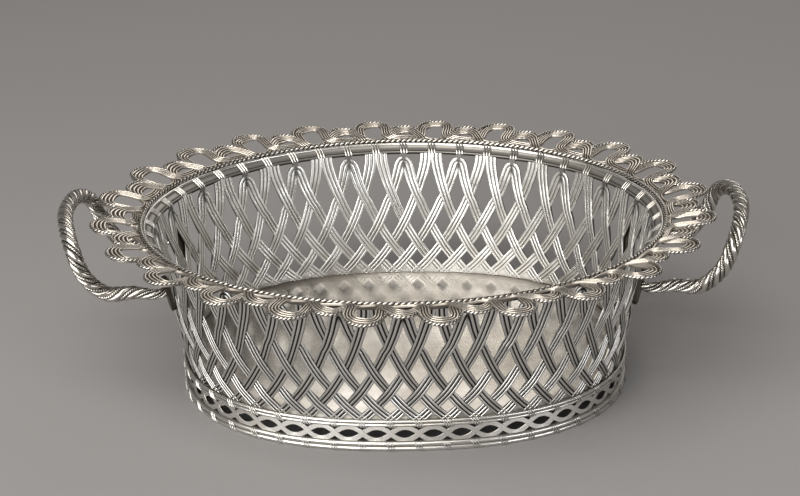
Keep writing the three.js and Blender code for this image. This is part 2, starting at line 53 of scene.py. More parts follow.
# Oval and heights, the same as those of the solids
TIES = 48
PANELS = 4
RIM_HALF = (140.0, 116.0)
RIM_HEIGHT = 90.5
FOOT_HALF = (117.0, 95.6)
FOOT_SQUARENESS = 2.35
BAND_BOTTOM, BAND_TOP, BAND_MIDDLE = 5.0, 13.6, 8.9
BAND_SWING, BAND_WIDTH, BAND_LIFT = 3.3, 2.7, 0.06
BAND_FLARE, BAND_OUT = 0.17, 0.2
BAND_ROUNDING = 0.85
BAND_HALF, BAND_BEVEL = 0.45, 0.2
UPPER_BOTTOM, UPPER_TOP = 13.5, 17.8
WALL_TOP, WALL_BOTTOM = 83.7, 14.7
WALL_INSET = 7.0
WALL_FLARE = 1.15
STRAP_LEAN = (1.6, -0.55, 1.6)

# A strap, the arches' crowns as [ties, depth], and the solid strips at the top and the foot of the wall
STRAP_WIDTH = 5.15
CROWN_WIDTH = 6.3
RIBBON_HALF = 0.5
STRAP_GROOVES = 0.125, 0.085
REED_HEIGHT, INNER_REED_HEIGHT = 0.36, 0.14
CROWN_WIDENING = 0.08, 0.35
WEAVE_RISE = 0.42
WEAVE_START, WEAVE_END = (0.35, 0.75), (0.97, 0.82)
DEPTH_TIES = 5
STRAP_STEP = 0.075
PAIR_TIES = 0.19
ARCH_CROWN = ((0, 0.05), (0.06, 0.0535), (0.12, 0.076), (0.19, 0.13), (0.275, 0.2), (0.385, 0.27), (0.5, 0.335))
ARCH_FOOT = 0.38
# Arches darken at their crowns, under the rim moulding: painted shade with tarnish.
ARCH_TARNISH_AND_SHADE, ARCH_TARNISH_AND_SHADE_MOST = 2.2, 0.75
ARCH_TARNISH_AND_SHADE_BELOW_TOP = 10, 6
ARCH_TAB_HALF = 1.7
ARCH_TAB_END = 0.03
WALL_FOOT_DEPTH = 0.925
WALL_FOOT_HALF = 0.3
WALL_HEAD = -0.022

# A reed across its width: places, height, and tarnish with painted shade
REED_LANES = 0, 0.12, 0.32, 0.68, 0.88, 1
REED_BUMP = 0, 0.62, 0.95, 0.95, 0.62, 0
REED_TARNISH_AND_SHADE = 1, 0.1, 0, 0, 0.1, 1
UNDERSIDE_TARNISH_AND_SHADE = 0.7

# Border
BORDER_TOP = 90.6
SIDE_SLOPE, END_SLOPE = 0.03, 0.17
END_SCALE = 0.89
BORDER_DOME = 1.0
BORDER_ROLL, BORDER_ROLL_REACH, BORDER_ROLL_MOST = 2.4, 5.0, 1.4
LARGE_REACH, SMALL_REACH, NOTCH_REACH = 29.8, 20.7, 14.0
LARGE_HALF_TIES = 0.6
SCALLOP_SQUARENESS = 2.3
SCALLOP_FLANK = 0.7

# Half a wave of each ribbon as (ties from its outer tip, reach, width)
OUTER_RIBBON = ((0, 24.5, 7.4), (0.19, 23.9, 7.1), (0.34, 21.6, 6.0), (0.4, 18.0, 5.2), (0.415, 14.5, 5.0),
                (0.415, 11.0, 5.0), (0.42, 8.0, 5.2), (0.48, 5.4, 5.0), (0.62, 3.9, 4.6), (0.8, 3.3, 4.4),
                (1, 3.2, 4.4))
INNER_RIBBON = ((0, 14.3, 8.2), (0.12, 13.9, 7.8), (0.22, 12.8, 6.6), (0.32, 11.0, 5.6), (0.43, 8.0, 5.2),
                (0.54, 4.8, 5.0), (0.66, 2.4, 4.8), (0.82, 1.5, 4.8), (1, 1.3, 4.8))
RIBBON_REED = 0.4
RIBBON_GROOVE = 0.115
RIBBON_RISE = 0.5
RIBBON_SINK = 0.6
RIBBON_STEP = 1.1
TIE_LENGTH = 19.0

# Mouldings. The slope of the rim moulding runs between two (offset, height) corners, and its profile holds
# (share of the slope, height above it, tarnish and painted shade). That darkening is tarnish in the grooves, a
# painted dark reflection on the broad hollow band, and painted shade with tarnish on the lower reed and the
# underside.
RIM_SLOPE = (-1.1, 89.3), (-7.0, 84.9)
RIM_PROFILE = ((0, 0, 1), (0.03, 0.6, 0.2), (0.08, 0.95, 0), (0.15, 0.95, 0), (0.2, 0.6, 0.2),
               (0.23, 0.45, 0.75), (0.31, 0.25, 0.62), (0.45, 0.15, 0.5), (0.6, 0.25, 0.58), (0.71, 0.5, 0.7),
               (0.76, 0.4, 1), (0.82, 0.75, 0.7), (0.89, 0.9, 0.6), (0.95, 0.6, 0.8), (1, 0, 1), (1.0, -0.6, 1),
               (0.62, -1.6, 1), (0.1, -1.4, 1))
RIM_BINDING = (0.1, 0.5), (0.22, 0.6), (0.48, 0.65), (0.8, 0.6), (0.95, 0.1)
RIM_BINDING_TIES = -0.1, 0, 0.1
RIM_BINDING_SLANT, RIM_BINDING_HALF = -0.07, 0.62

# Half a foot moulding as (share of its height, how far in, tarnish and painted shade), and both mouldings' outer
# and inner offsets
FOOT_REED = ((0.0, 0.9, 0.6), (0.06, 0.35, 0.2), (0.16, 0.05, 0), (0.27, 0.0, 0), (0.38, 0.12, 0.1),
             (0.47, 0.55, 0.6))
FOOT_REED_CLEFT = 0.95
LOWER_OUT, LOWER_IN, LOWER_TOP = 3.0, -1.2, 5.3
UPPER_OUT, UPPER_IN, UPPER_REED_BOTTOM = 3.3, 2.2, 14.0
# The ledge lies in the corner where the wall meets the moulding, and is painted dark there: shade with tarnish.
LEDGE_OUT, LEDGE_IN, LEDGE_TOP, LEDGE_TARNISH_AND_SHADE = 0.9, -2.5, 14.4, 0.3
FOOT_BINDING = (0, 0.5), (0.2, 0.05), (0.5, 0.1), (0.8, 0.05), (1, 0.5)
FOOT_BINDING_TIES = -0.09, 0, 0.09
FOOT_BINDING_SLANT, FOOT_BINDING_HALF = -0.17, 0.42
FOOT_BOUND = (3.2, 0.4, 5.0), (3.5, 13.8, 17.6)
BINDING_STEP = 0.35
# Binding wire darkens at its sides, between the turns: painted shade with tarnish.
BINDING_TARNISH_AND_SHADE = 0.6, 0.1

# Ropes of two strands: diameter, lay and step between sections, and how they narrow where the strands cross
RIM_ROPE, RIM_ROPE_LAY, RIM_ROPE_STEP = 2.6, 6.06, 0.45
RIM_ROPE_LIFT = -0.1
EDGE_ROPE, EDGE_ROPE_LAY, EDGE_ROPE_STEP = 1.9, 4.2, 0.42
EDGE_ROPE_LIFT = 0.05
CORD, CORD_LAY, CORD_SINK = 2.0, 2.6, 0.15
STRAND_WAIST, STRAND_ROUNDING = 0.45, 0.7
# The strands darken towards the valleys between them: painted shade with tarnish.
STRAND_TARNISH_AND_SHADE = 1.75 / 2.2, 0.75 / 2.2

# Handles
HANDLE_TIP = 179.7
HANDLE_TOP = 96.0
HANDLE_ROOT = (34.0, 63.5)
HANDLE_HALF_SPREAD = 39.6
HANDLE_LEAD = 5.0
HANDLE_LEAD_DROP = 0.5
HANDLE_BOW = ((0.3, 0.9, -0.02), (0.56, 0.9, -0.03), (0.755, 0.985, 0.31), (0.86, 0.92, 0.73),
              (0.955, 0.51, 0.98))
CABLE = 8.6
CABLE_ROOT_SCALE = 0.62
CABLE_TAPER = 26.0
CABLE_PITCH = 25.5
THICK_WIRE = 3.2
# The thick wires darken on their inner sides, where they touch: painted shade with tarnish.
THICK_WIRE_TARNISH_AND_SHADE = 0.62, 0.12
HANDLE_STEP = 0.35
TERMINAL_GAP, TERMINAL_HALF = 0.6, 3.0

# The wires of a cable as (kind, diameter, how far ahead in thirds of a turn, how far sunk in, slot)
HANDLE_WIRES = (("thick", THICK_WIRE, 0, 0, "polished_silver"),
                ("fine", CORD, 0.5, CORD_SINK, "chased_silver"))

# Materials: the floor's edge darkening, painted shade of its corner with the wall and tarnish, starts and would
# be full at these shares of its half sizes
FLOOR_TARNISH_AND_SHADE = 0.92, 1.1
FLOOR_INSET = 2
CLEAN_SHARE = 0.3, 0.7
TARNISH_AND_SHADE_SHARE = 0.15, 0.85
TARNISH_AND_SHADE_ROUGHNESS = 0.6
SCRATCH_STRETCH, SCRATCH_TURN = 0.07, 0.3

# Sockets of a Mix node, which has one name for its numbers and its colours
NUMBER_A, NUMBER_B, COLOUR_A, COLOUR_B, COLOUR_RESULT = 2, 3, 6, 7, 2

# The camera, found from the rim and the foot in the photograph: focal length in pixels of its width, distance,
# angles in degrees and the point that it looks at
PHOTO_WIDTH, FOCAL_LENGTH = 800, 2242.97
CAMERA_DISTANCE = 1205.94
CAMERA_DOWN, CAMERA_ASIDE, CAMERA_ROLL = 22.765, -0.602, 1.029
CAMERA_AIM = -1.917, 0, 71.198
SENSOR_WIDTH = 36


def unit(vectors):
    return vectors / np.linalg.norm(vectors, axis=-1, keepdims=True)


def mix(low, high, share):
    return low + (high - low) * share


def ramp(value, start, end):
    """0 up to the start, 1 from the end on, and even between them."""
    return np.clip((value - start) / (end - start), 0, 1)


class Oval:
    """A line |x/a|^n + |y/b|^n = 1 that is walked in equal steps."""

    def __init__(self, half, squareness):
        self.half = np.array(half)
        self.squareness = squareness
        self.turns = np.linspace(-0.5 * math.pi, 1.5 * math.pi, TIES * 60 + 1)
        steps = np.linalg.norm(np.diff(self.at(self.turns), axis=0), axis=1)
        self.walked = np.concatenate([[0], np.cumsum(steps)])

    def at(self, turn):
        ray = np.stack([np.cos(turn), np.sin(turn)], -1)
        reach = (np.abs(ray / self.half) ** self.squareness).sum(-1) ** (-1 / self.squareness)
        return ray * reach[..., None]

    def turn(self, tie):
        return np.interp(np.mod(tie / TIES, 1) * self.walked[-1], self.walked, self.turns)

    def point(self, tie, offset):
        p = self.at(self.turn(tie))
        out = np.sign(p) * np.abs(p / self.half) ** (self.squareness - 1) / self.half
        return p + unit(out) * np.broadcast_to(offset, np.shape(tie))[..., None]


rim = Oval(RIM_HALF, 2)
foot = Oval(FOOT_HALF, FOOT_SQUARENESS)


def round_ties(per_tie):
    """Even places once round the basket."""
    return np.arange(TIES * per_tie) / per_tie


def raised(flat, height):
    height = np.broadcast_to(height, flat.shape[:-1])
    return np.concatenate([flat, height[..., None]], -1)


def wall(tie, depth):
    """The middle of the wall's sheet. Depth runs from 0 under the rim to 1 on the foot."""
    top = rim.point(tie, -WALL_INSET)
    bottom = foot.point(tie, 0)
    flare = np.clip(1 - depth, 0, None) ** WALL_FLARE
    return raised(mix(bottom, top, flare[..., None]), mix(WALL_TOP, WALL_BOTTOM, depth))


def border(tie, reach):
    """The top of the border's sheet, which slopes up from the rim rope, more at the basket's ends."""
    across = np.abs(np.sin(rim.turn(tie))) ** 2
    scale = mix(END_SCALE, 1, across)
    p = rim.point(tie, reach * scale)
    beyond = np.hypot(p[..., 0] / rim.half[0], p[..., 1] / rim.half[1]) - 1
    sideways = (p[..., 1] / np.hypot(p[..., 0], p[..., 1])) ** 2
    slope = mix(END_SLOPE * rim.half[0], SIDE_SLOPE * rim.half[1], sideways)
    share = np.clip(reach / LARGE_REACH, 0, 1)
    dome = BORDER_DOME * 4 * share * (1 - share)
    roll = BORDER_ROLL * np.clip(1 - reach / BORDER_ROLL_REACH, 0, BORDER_ROLL_MOST) ** 2
    return raised(p, BORDER_TOP + np.maximum(beyond, 0) * slope + dome - roll)


def face_of(surface, tie, across):
    """Unit normals of a surface, upwards or outwards."""
    step = 0.01
    along = surface(tie + step, across) - surface(tie - step, across)
    up = surface(tie, across + step) - surface(tie, across - step)
    normal = unit(np.cross(along, up))
    if surface is wall:
        return -normal
    return normal * np.sign(normal[..., 2:])


def resampled(line, spacing, closed=False):
    """The same line with points at an even spacing."""
    if closed:
        line = np.concatenate([line, line[:1]])
    walked = np.concatenate([[0], np.cumsum(np.linalg.norm(np.diff(line, axis=0), axis=1))])
    count = max(int(round(walked[-1] / spacing)), 2)
    places = np.linspace(0, walked[-1], count + 1)
    if closed:
        places = places[:-1]
    return np.stack([np.interp(places, walked, line[:, k]) for k in range(line.shape[1])], -1)


def smooth_line(points, steps=24):
    """A centripetal curve through the points, the same as that of the solids."""
    points = np.asarray(points, float)
    ends = [2 * points[0] - points[1]], [2 * points[-1] - points[-2]]
    p = np.concatenate([ends[0], points, ends[1]])
    line = []
    for i in range(1, len(p) - 2):
        a, b, c, d = p[i - 1:i + 3]
        ab, bc, cd = (max(np.linalg.norm(v), 1e-9) ** 0.5 for v in (b - a, c - b, d - c))
        start = (b - a) / ab - (c - a) / (ab + bc) + (c - b) / bc
        end = (c - b) / bc - (d - b) / (bc + cd) + (d - c) / cd
        t = np.linspace(0, 1, steps, endpoint=False)[:, None]
        start, end = start * bc, end * bc
        square, cube = 3 * (c - b) - 2 * start - end, 2 * (b - c) + start + end
        line.append(b + start * t + square * t**2 + cube * t**3)
    return np.concatenate(line + [points[-1:]])


def directions(line, closed):
    if closed:
        return unit(np.roll(line, -1, axis=0) - np.roll(line, 1, axis=0))
    return unit(np.gradient(line, axis=0))


def quads_between(rows, total, count):
    """Quads between rows of points and the rows that follow them, where the first follows the last."""
    row = np.arange(rows)[:, None]
    following = (row + 1) % total
    k = np.arange(count)[None]
    right = (k + 1) % count
    quads = [row * count + k, row * count + right, following * count + right, following * count + k]
    return np.stack(quads, -1).reshape(-1, 4).tolist()


# Parts are (points, faces, tarnish and painted shade): a value of 1 marks the bottom of a groove, where tarnish
# stays, and the darkest painted shade in the crevices between parts.
def swept(centre, side, face, section, tarnish_and_painted_shade, closed):
    """A section carried along a line. It holds (side, face) pairs, for each place or the same everywhere."""
    section = np.broadcast_to(section, (len(centre),) + np.shape(section)[-2:])
    count = section.shape[1]
    points = centre[:, None] + section[..., :1] * side[:, None] + section[..., 1:] * face[:, None]
    faces = quads_between(len(centre) - (not closed), len(centre), count)
    if not closed:
        last = (len(centre) - 1) * count
        faces.append(list(range(count))[::-1])
        faces.append(list(range(last, last + count)))
    return points.reshape(-1, 3), faces, np.tile(tarnish_and_painted_shade, len(centre))


def piece(name, parts, finish, replaces=(), angle=45):
    """One object from swept parts, with their tarnish and painted shade as an attribute."""
    points, faces, tarnish_and_painted_shades, start = [], [], [], 0
    for part_points, part_faces, part_tarnish_and_painted_shade in parts:
        points.append(part_points)
        faces += [[start + corner for corner in face] for face in part_faces]
        tarnish_and_painted_shades.append(part_tarnish_and_painted_shade)
        start += len(part_points)
    mesh = bpy.data.meshes.new(name)
    mesh.from_pydata((np.concatenate(points) * METRE).tolist(), [], faces)
    mesh.attributes.new("tarnish_and_painted_shade", "FLOAT", "POINT").data.foreach_set("value", np.concatenate(tarnish_and_painted_shades))
    made = bpy.data.objects.new(name, mesh)
    bpy.context.collection.objects.link(made)
    bpy.ops.object.select_all(action="DESELECT")
    made.select_set(True)
    bpy.context.view_layer.objects.active = made
    bpy.ops.object.mode_set(mode="EDIT")
    bpy.ops.mesh.select_all(action="SELECT")
    bpy.ops.mesh.normals_make_consistent(inside=False)
    bpy.ops.object.mode_set(mode="OBJECT")
    bpy.ops.object.shade_smooth_by_angle(angle=math.radians(angle))
    dress(made, finish, replaces)


def dress(made, finish, replaces=()):
    """Gives an object its material, its body and the nodes that it stands for."""
    made.data.materials.clear()
    made.data.materials.append(finish)
    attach(made, "root")
    if replaces:
        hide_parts(*replaces)


# Materials
def linear(code):
    """An sRGB hex colour as linear values."""
    parts = [int(code[i:i + 2], 16) / 255 for i in (1, 3, 5)]
    return [c / 12.92 if c <= 0.04045 else ((c + 0.055) / 1.055) ** 2.4 for c in parts] + [1]


def add(nodes, kind, settings=(), links=(), values=()):
    """Adds a node with its settings. Links and values go by an input's name or number."""
    node = nodes.new(kind)
    for name, value in dict(settings).items():
        setattr(node, name, value)
    for key, value in dict(values).items():
        node.inputs[key].default_value = value
    for key, output in dict(links).items():
        nodes.id_data.links.new(output, node.inputs[key])
    return node


def tarnish_and_shade_place(nodes, place, plate_half):
    """How dark each place is, with tarnish and painted shade: by the values drawn on a piece, or towards the
    edge of a plate, along its corner with the wall.
    """
    if plate_half is None:
        return add(nodes, "ShaderNodeAttribute", {"attribute_name": "tarnish_and_painted_shade"}).outputs["Fac"]
    shares = [1 / (half * METRE) for half in plate_half] + [0.0]
    across = add(nodes, "ShaderNodeMapping", links={"Vector": place}, values={"Scale": shares})
    reach = add(nodes, "ShaderNodeVectorMath", {"operation": "LENGTH"}, {"Vector": across.outputs["Vector"]})
    edge = add(nodes, "ShaderNodeMapRange", links={"Value": reach.outputs["Value"]},
               values={"From Min": FLOOR_TARNISH_AND_SHADE[0], "From Max": FLOOR_TARNISH_AND_SHADE[1]})
    return edge.outputs["Result"]


def scratched(nodes, place, width, depth):
    """The direction of a surface with scratches of this width and depth, drawn out along one way."""
    drawn_out = add(nodes, "ShaderNodeMapping", links={"Vector": place},
                    values={"Scale": (SCRATCH_STRETCH, 1.0, 1.0), "Rotation": (0, 0, SCRATCH_TURN)})
    scratch = add(nodes, "ShaderNodeTexNoise", links={"Vector": drawn_out.outputs["Vector"]},
                  values={"Scale": 1 / (width * METRE), "Detail": 1.0})
    bump = add(nodes, "ShaderNodeBump", links={"Height": scratch.outputs["Fac"]},
               values={"Strength": 1.0, "Distance": depth * METRE})
    return bump.outputs["Normal"]


def silver(name, colours, roughness, smudge, scratch=None, plate_half=None):
    """Silver with tarnish and painted shade in its grooves and crevices, a thin film and smudges on its polish,
    and fine scratches.

    Colours are those of bright silver, of its film and of tarnish, which also paints shade. Roughness is that of
    bright silver and of its film. A smudge's size and a scratch's width and depth are millimetres. A plate has
    no grooves: its painted shade and tarnish gather at its edge.
    """
    bright, film, tarnish_and_shade = [linear(code) for code in colours]
    material = bpy.data.materials.new(name)
    material.use_nodes = True
    nodes = material.node_tree.nodes
    nodes.clear()
    place = add(nodes, "ShaderNodeTexCoord").outputs["Object"]
    noise = add(nodes, "ShaderNodeTexNoise", links={"Vector": place},
                values={"Scale": 1 / (smudge * METRE), "Detail": 4.0, "Roughness": 0.6})
    filmed = add(nodes, "ShaderNodeMapRange", links={"Value": noise.outputs["Fac"]},
                 values={"From Min": CLEAN_SHARE[0], "From Max": CLEAN_SHARE[1]}).outputs["Result"]
    # Darkens by the drawn values: tarnish, and painted shade where shade falls in crevices.
    dark = add(nodes, "ShaderNodeMapRange", links={"Value": tarnish_and_shade_place(nodes, place, plate_half)},
               values={"From Min": TARNISH_AND_SHADE_SHARE[0], "From Max": TARNISH_AND_SHADE_SHARE[1]}).outputs["Result"]
    surface = add(nodes, "ShaderNodeMix", {"data_type": "RGBA"}, {"Factor": filmed},
                  {COLOUR_A: bright, COLOUR_B: film}).outputs[COLOUR_RESULT]
    colour = add(nodes, "ShaderNodeMix", {"data_type": "RGBA"}, {"Factor": dark, COLOUR_A: surface},
                 {COLOUR_B: tarnish_and_shade}).outputs[COLOUR_RESULT]
    shine = add(nodes, "ShaderNodeMapRange", links={"Value": filmed},
                values={"To Min": roughness[0], "To Max": roughness[1]}).outputs["Result"]
    rough = add(nodes, "ShaderNodeMix", {"data_type": "FLOAT"}, {"Factor": dark, NUMBER_A: shine},
                {NUMBER_B: TARNISH_AND_SHADE_ROUGHNESS}).outputs["Result"]
    links = {"Base Color": colour, "Roughness": rough}
    if scratch:
        links["Normal"] = scratched(nodes, place, *scratch)
    skin = add(nodes, "ShaderNodeBsdfPrincipled", links=links, values={"Metallic": 1.0})
    output = add(nodes, "ShaderNodeOutputMaterial", links={"Surface": skin.outputs["BSDF"]})
    output.is_active_output = True
    return material


# Sterling silver, cast and polished: a bright warm white mirror, softened by handling. Its dark colour is
# tarnish with painted shade in the mouldings' hollows, under them and between the binding turns, and a painted
# dark reflection on the rim's broad band.
polished = silver("polished_sterling_silver", ("#eeece8", "#d6d2cb", "#4a4641"), (0.2, 0.32), 30)

# Sterling silver, pierced and chased with reeds: bright crests, and sulphide tarnish that makes grooves dark,
# with painted shade in the grooves, along the straps' edges and at the arches' crowns.
chased = silver("chased_sterling_silver", ("#e9e8e5", "#d3d0cb", "#2b2825"), (0.22, 0.36), 18)

# Sterling silver, cast and chased for the border: rubbed crests between grooves of brown tarnish, with painted
# shade in the grooves and under the ribbons.
bordered = silver("chased_border_silver", ("#ebe5dc", "#d3cbc0", "#4a4138"), (0.17, 0.34), 22)

# Sterling silver for the handles' terminals under the border: painted an even brown-black for the shade there
# and the dark that they reflect, over a dull shine.
painted_dark_silver = silver("silver_painted_dark", ("#5c554d", "#443e38", "#1c1917"), (0.35, 0.5), 12)

# Silver wire, drawn and twisted: bright where it is rubbed, and painted dark between the turns, shade with
# tarnish.
twisted = silver("twisted_silver_wire", ("#e0dcd6", "#c4beb5", "#151311"), (0.13, 0.24), 25)

# Sterling silver sheet, worn satin by use and cleaning: a warm grey gloss under many fine scratches, and a brown
# ring at the edge, painted shade of its corner with the wall together with tarnish where no cloth reaches. Real
# scratches are about 0.1 mm wide, and these are drawn 0.9 mm wide so that they show.
worn = silver("worn_sterling_silver", ("#cac7c2", "#9d978f", "#6b6257"), (0.14, 0.26), 40, (0.9, 0.0014),
              [half - FLOOR_INSET for half in FOOT_HALF])


# Wall lattice
def strap_shift(depth):
    """How many ties a strap has run aside at this depth."""
    first, second, third = STRAP_LEAN
    return first * depth + second * depth**2 + third * depth**3


def reed_lanes(reeds, groove_share):
    """Places across a ribbon of width 1, six to a reed: a groove's share is of the width."""
    reed = (1 - (reeds - 1) * groove_share) / reeds
    lanes = reed * np.array(REED_LANES)
    return np.concatenate([r * (reed + groove_share) + lanes for r in range(reeds)]) - 0.5


def reeded(width, reeds, upper_share, lower_share, height, under_height, over, under):
    """The section of a ribbon of round reeds with flat dark grooves between them.

    Over and under say how far each face is raised.
    """
    bump = np.tile(REED_BUMP, reeds)
    width = np.broadcast_to(width, np.shape(over))[:, None]
    top = RIBBON_HALF + over[:, None] + height * bump
    bottom = -RIBBON_HALF - under[:, None] - under_height * bump
    upper = np.stack([width * reed_lanes(reeds, upper_share), top], -1)
    lower = np.stack([width * reed_lanes(reeds, lower_share), bottom], -1)
    return np.concatenate([upper, lower[:, ::-1]], 1)


def reed_tarnish_and_shade(reeds, edge, under_edge, under_least):
    """How dark each place of a reeded section is, with tarnish and painted shade: its grooves, its edges and the
    least of its underside, where painted shade lies.
    """
    upper = np.tile(REED_TARNISH_AND_SHADE, reeds)
    lower = np.maximum(upper * UNDERSIDE_TARNISH_AND_SHADE, under_least)
    upper[[0, -1]] = edge
    lower[[0, -1]] = under_edge
    return np.concatenate([upper, lower])


def strap(tie, depth, hand):
    """A strap of the wall along (tie, depth) pairs: hand is 1 where its run goes towards higher ties."""
    line = resampled(np.stack([tie, depth * DEPTH_TIES], -1), STRAP_STEP)
    tie, depth = line[:, 0], line[:, 1] / DEPTH_TIES
    centre = wall(tie, depth)
    face = face_of(wall, tie, depth)
    along = directions(centre, False)
    side = unit(np.cross(face, along))
    row = 2 * strap_shift(depth)
    woven = ramp(row, *WEAVE_START) * ramp(depth, *WEAVE_END)
    wave = WEAVE_RISE * woven * np.cos(math.pi * row) * hand
    width = mix(CROWN_WIDTH, STRAP_WIDTH, ramp(depth, *CROWN_WIDENING))
    section = reeded(width, 3, *STRAP_GROOVES, REED_HEIGHT, INNER_REED_HEIGHT, wave, wave)
    # The straps' edges take the darkest value: painted shade where the straps cross.
    return swept(centre, side, face, section, reed_tarnish_and_shade(3, 1, 0.2, 0), False)


def wall_foot(first, last):
    """The solid strip on which the straps end."""
    tie = np.linspace(first, last, 8 * (last - first) + 1)
    low, high = wall(tie, np.full(len(tie), 1.0)), wall(tie, np.full(len(tie), WALL_FOOT_DEPTH))
    half = np.linalg.norm(high - low, axis=1)[:, None, None] / 2
    corners = np.array([(-1, -WALL_FOOT_HALF), (1, -WALL_FOOT_HALF), (1, WALL_FOOT_HALF), (-1, WALL_FOOT_HALF)])
    section = corners * np.concatenate([half, np.ones_like(half)], -1)
    along = directions(low, False)
    side = unit(high - low)
    return swept((low + high) / 2, side, np.cross(side, along), section, np.full(4, 0.1), False)


def lattice(number):
    """A quarter of the wall: crossing straps from each odd tie, and an arch at each even one."""
    first, last = number * TIES // PANELS, (number + 1) * TIES // PANELS
    parts = [wall_foot(first, last)]
    for tie in range(first, last):
        if tie % 2:
            depth = np.linspace(WALL_HEAD, 1, 60)
            moved = np.hypot(strap_shift(depth), PAIR_TIES)
            for hand in (1, -1):
                parts.append(strap(tie + hand * moved, depth, hand))
        else:
            low = np.linspace(ARCH_FOOT, 1, 40)
            half = smooth_line(list(ARCH_CROWN) + list(zip(strap_shift(low), low)), 4)
            for hand in (1, -1):
                parts.append(mitred(strap(tie + hand * half[:, 0], half[:, 1], hand), tie, hand))
            parts.append(arch_tab(tie))
    return parts


def mitred(part, tie, hand):
    """Cuts half an arch off at the upright plane through the arch's middle."""
    points, faces, tarnish_and_painted_shade = part
    ties = np.array([tie - 0.01, tie, tie + 0.01])
    before, middle, after = raised(rim.point(ties, -WALL_INSET), WALL_TOP)
    along = unit(after - before) * hand
    beside = (points - middle) @ along
    # Darkening at the crown: painted shade with tarnish.
    tarnish_and_shade = np.minimum(ramp(beside, ARCH_TARNISH_AND_SHADE, 0), ARCH_TARNISH_AND_SHADE_MOST)
    near_top = ramp(WALL_TOP - points[:, 2], *ARCH_TARNISH_AND_SHADE_BELOW_TOP)
    beyond = np.minimum(beside, 0)[:, None]
    return points - beyond * along, faces, np.maximum(tarnish_and_painted_shade, tarnish_and_shade * near_top)


def arch_tab(tie):
    """The short strip that joins an arch's crown to the rim moulding."""
    depth = np.linspace(WALL_HEAD, ARCH_TAB_END, 4)
    ties = np.full(4, float(tie))
    centre = wall(ties, depth)
    face = face_of(wall, ties, depth)
    side = unit(np.cross(face, directions(centre, False)))
    section = np.array([(-1, -1), (1, -1), (1, 1), (-1, 1)]) * [ARCH_TAB_HALF, RIBBON_HALF]
    # The tab under the rim moulding is painted dark: shade with tarnish.
    return swept(centre, side, face, section, np.full(4, 0.7), False)


for number in range(PANELS):
    piece(f"woven_wall_{number + 1}", lattice(number), chased, [f"wall_panel_{number + 1}"])


# Ropes
def rope(line, face, diameter, lay, closed=True, scale=1.0):
    """Two strands twisted together: lay is the length of one full turn."""
    along = directions(line, closed)
    side = unit(np.cross(face, along))
    face = np.cross(along, side)
    if closed:
        total = np.linalg.norm(np.roll(line, -1, axis=0) - line, axis=1).sum()
        turns = round(2 * total / lay) / 2
    else:
        total = np.linalg.norm(np.diff(line, axis=0), axis=1).sum()
        turns = total / lay
    phase = -2 * math.pi * turns * np.arange(len(line)) / len(line)
    angle = np.arange(12) / 12 * 2 * math.pi
    lobe = np.abs(np.cos(angle[None] - phase[:, None]))
    half = diameter / 2 * np.broadcast_to(scale, len(line))[:, None]
    radius = half * mix(STRAND_WAIST, 1, lobe**STRAND_ROUNDING)
    section = np.stack([radius * np.cos(angle), radius * np.sin(angle)], -1)
    tarnish_and_painted_shade = ramp(lobe, *STRAND_TARNISH_AND_SHADE)
    points, faces, _ = swept(line, side, face, section, np.zeros(12), closed)
    return points, faces, tarnish_and_painted_shade.reshape(-1)


up = np.array([[0.0, 0.0, 1.0]])
ring = raised(rim.point(round_ties(8), 0), RIM_HEIGHT + RIM_ROPE_LIFT)
rim_rope = rope(resampled(ring, RIM_ROPE_STEP, True), up, RIM_ROPE, RIM_ROPE_LAY)
piece("twisted_rim_rope", [rim_rope], twisted, ["rim_rope"], 70)


# Mouldings
def moulding(oval, profile):
    """A moulding round an oval: its profile holds (offset, height, tarnish and painted shade) corners in order.
    """
    tie = round_ties(8)
    rows = [raised(oval.point(tie, offset), height) for offset, height, _ in profile]
    faces = quads_between(len(tie), len(tie), len(profile))
    return np.stack(rows, 1).reshape(-1, 3), faces, np.tile([tarnish_and_painted_shade for _, _, tarnish_and_painted_shade in profile], len(tie))


def binding(oval, profile, tie, slant, radius):
    """One slanted turn of binding wire that lies on the visible side of a moulding."""
    share = np.linspace(-0.5, 0.5, len(profile))
    corners = np.array([(tie + slant * s, offset, height) for s, (offset, height) in zip(share, profile)])
    line = resampled(smooth_line(corners, 4), BINDING_STEP)
    centre = raised(oval.point(line[:, 0], line[:, 1]), line[:, 2])
    along = directions(centre, False)
    side = unit(np.cross(along, unit(raised(oval.point(line[:, 0], 1) - oval.point(line[:, 0], 0), 0))))
    face = np.cross(side, along)
    angle = np.arange(8) / 8 * 2 * math.pi
    section = radius * np.stack([np.cos(angle), np.sin(angle)], -1)
    return swept(centre, side, face, section, ramp(np.abs(np.sin(angle)), *BINDING_TARNISH_AND_SHADE), False)


def sloped(share, height):
    """A corner on the slope of the rim moulding: share from the rope down, and height above it."""
    start, end = np.array(RIM_SLOPE)
    along = unit(end - start)
    above = np.array([along[1], -along[0]])
    return tuple(start + (end - start) * share + above * height)


profile = [sloped(share, height) + (tarnish_and_painted_shade,) for share, height, tarnish_and_painted_shade in RIM_PROFILE]
piece("reeded_rim_moulding", [moulding(rim, profile)], polished, ["rim_moulding"], 60)

bound = [sloped(share, height) for share, height in RIM_BINDING]
turns = [binding(rim, bound, tie + place, RIM_BINDING_SLANT, RIM_BINDING_HALF)
         for tie in range(TIES) for place in RIM_BINDING_TIES]
piece("rim_moulding_bindings", turns, polished, (), 60)


